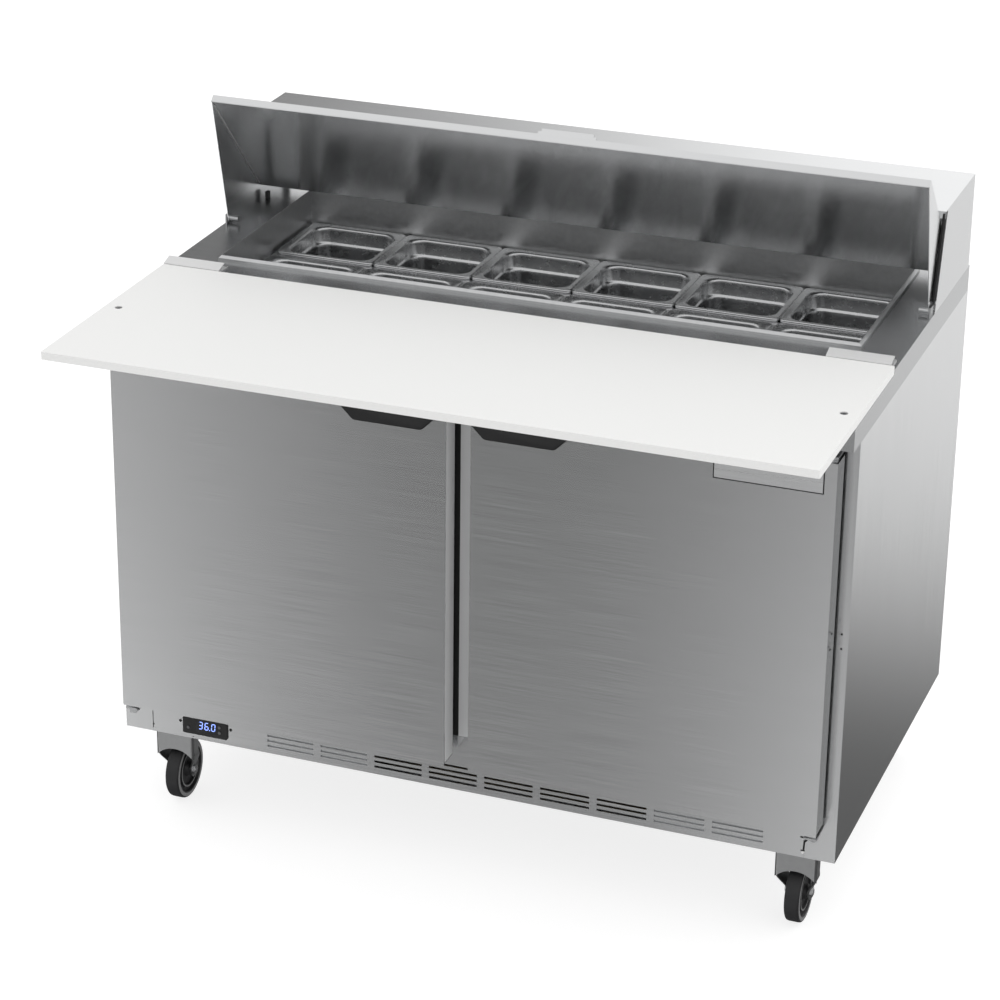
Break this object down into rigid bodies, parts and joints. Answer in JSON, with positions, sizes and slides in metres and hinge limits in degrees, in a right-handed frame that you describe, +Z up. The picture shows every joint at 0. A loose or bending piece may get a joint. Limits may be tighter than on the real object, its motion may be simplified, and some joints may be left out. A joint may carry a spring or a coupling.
{
  "type": "sandwich prep table",
  "caption": "Refrigerated sandwich prep table: two-door cabinet on casters, food pans in a top well under a hinged lid, cutting board in front.",
  "frame": {"origin": "floor level, at the centre of the object's footprint", "axes": "+Z up, +X along the width to the user's right, +Y from the cutting board to the back"},
  "size_m": [1.2191, 0.9316, 1.1313],
  "materials": {
    "stainless": "brushed, satin",
    "worktop_steel": "finely brushed",
    "lid_steel": "brushed, satin",
    "bright_steel": "polished edge",
    "pan_steel": "drawn, satin",
    "galvanised": "galvanised",
    "liner_metal": "stucco, satin",
    "foam": "rigid foam",
    "board_poly": "satin white polyethylene",
    "black_plastic": "fine matte texture",
    "gasket_rubber": "soft matte",
    "badge": "satin, blank",
    "button_plastic": "satin",
    "coil_aluminium": "fin stock",
    "fan_aluminium": "satin",
    "unit_black": "semi-gloss black",
    "shelf_wire": "epoxy coated",
    "caster_steel": "zinc plated",
    "caster_tyre": "hard rubber"
  },
  "bodies": {
    "cabinet": {"left_side_panel": "stainless", "right_side_panel": "stainless", "back_panel": "galvanised", "cord_gland": "black_plastic", "base_pan": "galvanised", "cabinet_liner": "liner_metal", "insulation": "foam", "front_frame": "stainless", "grille_panel": "stainless", "worktop": "worktop_steel", "pan_well": "bright_steel", "divider_bars": "pan_steel", "board_supports": "stainless", "board_clips": "bright_steel", "hood": "stainless", "hinge_brackets": "galvanised", "controller": "black_plastic", "evaporator": "coil_aluminium", "condensing_unit": "unit_black", "caster_plates": "caster_steel"},
    "board": {"cutting_board": "board_poly"},
    "lid": {"lid_shell": "lid_steel", "lid_core": "foam", "lid_liner": "lid_steel"},
    "left_door": {"left_door_skin": "stainless", "left_door_core": "foam", "left_door_grip": "black_plastic", "left_door_gasket": "gasket_rubber"},
    "right_door": {"right_door_skin": "stainless", "right_door_core": "foam", "right_door_grip": "black_plastic", "right_door_gasket": "gasket_rubber", "badge_plate": "badge"},
    "left_shelf": {"left_shelf": "shelf_wire"},
    "right_shelf": {"right_shelf": "shelf_wire"},
    "evaporator_fan": {"evaporator_fan": "fan_aluminium"},
    "condenser_fan": {"condenser_fan": "fan_aluminium"},
    "menu_button": {"menu_button": "button_plastic"},
    "up_button": {"up_button": "button_plastic"},
    "down_button": {"down_button": "button_plastic"},
    "pan_front_1": {"pan_front_1": "pan_steel"},
    "pan_front_2": {"pan_front_2": "pan_steel"},
    "pan_front_3": {"pan_front_3": "pan_steel"},
    "pan_front_4": {"pan_front_4": "pan_steel"},
    "pan_front_5": {"pan_front_5": "pan_steel"},
    "pan_front_6": {"pan_front_6": "pan_steel"},
    "pan_rear_1": {"pan_rear_1": "pan_steel"},
    "pan_rear_2": {"pan_rear_2": "pan_steel"},
    "pan_rear_3": {"pan_rear_3": "pan_steel"},
    "pan_rear_4": {"pan_rear_4": "pan_steel"},
    "pan_rear_5": {"pan_rear_5": "pan_steel"},
    "pan_rear_6": {"pan_rear_6": "pan_steel"},
    "fork_front_left": {"caster_fork_front_left": "caster_steel"},
    "wheel_front_left": {"caster_wheel_front_left": "caster_tyre"},
    "fork_front_right": {"caster_fork_front_right": "caster_steel"},
    "wheel_front_right": {"caster_wheel_front_right": "caster_tyre"},
    "fork_rear_left": {"caster_fork_rear_left": "caster_steel"},
    "wheel_rear_left": {"caster_wheel_rear_left": "caster_tyre"},
    "fork_rear_right": {"caster_fork_rear_right": "caster_steel"},
    "wheel_rear_right": {"caster_wheel_rear_right": "caster_tyre"}
  },
  "joints": [
    {"name": "board_lift", "type": "slide", "parent": "cabinet", "child": "board", "axis": [0, 0, 1], "range_m": [0, 0.25]},
    {"name": "lid_hinge", "type": "hinge", "parent": "cabinet", "child": "lid", "pos_m": [0, 0.20675, 0.894], "axis": [-1, 0, 0], "range_deg": [-73, 0]},
    {"name": "left_door_hinge", "type": "hinge", "parent": "cabinet", "child": "left_door", "pos_m": [-0.577, -0.26025, 0.5], "axis": [0, 0, -1], "range_deg": [0, 110], "stiffness_Nm_per_rad": 1, "springref_deg": -5.73},
    {"name": "right_door_hinge", "type": "hinge", "parent": "cabinet", "child": "right_door", "pos_m": [0.577, -0.26025, 0.5], "axis": [0, 0, 1], "range_deg": [0, 110], "stiffness_Nm_per_rad": 1, "springref_deg": -5.73},
    {"name": "left_shelf_lift", "type": "slide", "parent": "cabinet", "child": "left_shelf", "axis": [0, 0, 1], "range_m": [0, 0.025]},
    {"name": "right_shelf_lift", "type": "slide", "parent": "cabinet", "child": "right_shelf", "axis": [0, 0, 1], "range_m": [0, 0.025]},
    {"name": "menu_button_press", "type": "slide", "parent": "cabinet", "child": "menu_button", "axis": [0, 1, 0], "range_m": [0, 0.0008], "stiffness_N_per_m": 200},
    {"name": "up_button_press", "type": "slide", "parent": "cabinet", "child": "up_button", "axis": [0, 1, 0], "range_m": [0, 0.0008], "stiffness_N_per_m": 200},
    {"name": "down_button_press", "type": "slide", "parent": "cabinet", "child": "down_button", "axis": [0, 1, 0], "range_m": [0, 0.0008], "stiffness_N_per_m": 200},
    {"name": "evaporator_fan_spin", "type": "hinge", "parent": "cabinet", "child": "evaporator_fan", "pos_m": [0, 0.34975, 0.64], "axis": [0, 1, 0], "continuous": true},
    {"name": "condenser_fan_spin", "type": "hinge", "parent": "cabinet", "child": "condenser_fan", "pos_m": [0.19, 0.39475, 0.285], "axis": [0, 1, 0], "continuous": true},
    {"name": "pan_front_1_lift", "type": "slide", "parent": "cabinet", "child": "pan_front_1", "axis": [0, 0, 1], "range_m": [0, 0.19]},
    {"name": "pan_front_2_lift", "type": "slide", "parent": "cabinet", "child": "pan_front_2", "axis": [0, 0, 1], "range_m": [0, 0.19]},
    {"name": "pan_front_3_lift", "type": "slide", "parent": "cabinet", "child": "pan_front_3", "axis": [0, 0, 1], "range_m": [0, 0.19]},
    {"name": "pan_front_4_lift", "type": "slide", "parent": "cabinet", "child": "pan_front_4", "axis": [0, 0, 1], "range_m": [0, 0.19]},
    {"name": "pan_front_5_lift", "type": "slide", "parent": "cabinet", "child": "pan_front_5", "axis": [0, 0, 1], "range_m": [0, 0.19]},
    {"name": "pan_front_6_lift", "type": "slide", "parent": "cabinet", "child": "pan_front_6", "axis": [0, 0, 1], "range_m": [0, 0.19]},
    {"name": "pan_rear_1_lift", "type": "slide", "parent": "cabinet", "child": "pan_rear_1", "axis": [0, 0, 1], "range_m": [0, 0.055]},
    {"name": "pan_rear_2_lift", "type": "slide", "parent": "cabinet", "child": "pan_rear_2", "axis": [0, 0, 1], "range_m": [0, 0.055]},
    {"name": "pan_rear_3_lift", "type": "slide", "parent": "cabinet", "child": "pan_rear_3", "axis": [0, 0, 1], "range_m": [0, 0.055]},
    {"name": "pan_rear_4_lift", "type": "slide", "parent": "cabinet", "child": "pan_rear_4", "axis": [0, 0, 1], "range_m": [0, 0.055]},
    {"name": "pan_rear_5_lift", "type": "slide", "parent": "cabinet", "child": "pan_rear_5", "axis": [0, 0, 1], "range_m": [0, 0.055]},
    {"name": "pan_rear_6_lift", "type": "slide", "parent": "cabinet", "child": "pan_rear_6", "axis": [0, 0, 1], "range_m": [0, 0.055]},
    {"name": "swivel_front_left", "type": "hinge", "parent": "cabinet", "child": "fork_front_left", "pos_m": [-0.526, -0.16825, 0.12], "axis": [0, 0, 1], "continuous": true},
    {"name": "wheel_spin_front_left", "type": "hinge", "parent": "fork_front_left", "child": "wheel_front_left", "pos_m": [-0.526, -0.18725, 0.0508], "axis": [1, 0, 0], "continuous": true},
    {"name": "swivel_front_right", "type": "hinge", "parent": "cabinet", "child": "fork_front_right", "pos_m": [0.546, -0.16825, 0.12], "axis": [0, 0, 1], "continuous": true},
    {"name": "wheel_spin_front_right", "type": "hinge", "parent": "fork_front_right", "child": "wheel_front_right", "pos_m": [0.546, -0.18725, 0.0508], "axis": [1, 0, 0], "continuous": true},
    {"name": "swivel_rear_left", "type": "hinge", "parent": "cabinet", "child": "fork_rear_left", "pos_m": [-0.526, 0.40375, 0.12], "axis": [0, 0, 1], "continuous": true},
    {"name": "wheel_spin_rear_left", "type": "hinge", "parent": "fork_rear_left", "child": "wheel_rear_left", "pos_m": [-0.526, 0.38475, 0.0508], "axis": [1, 0, 0], "continuous": true},
    {"name": "swivel_rear_right", "type": "hinge", "parent": "cabinet", "child": "fork_rear_right", "pos_m": [0.546, 0.40375, 0.12], "axis": [0, 0, 1], "continuous": true},
    {"name": "wheel_spin_rear_right", "type": "hinge", "parent": "fork_rear_right", "child": "wheel_rear_right", "pos_m": [0.546, 0.38475, 0.0508], "axis": [1, 0, 0], "continuous": true}
  ]
}
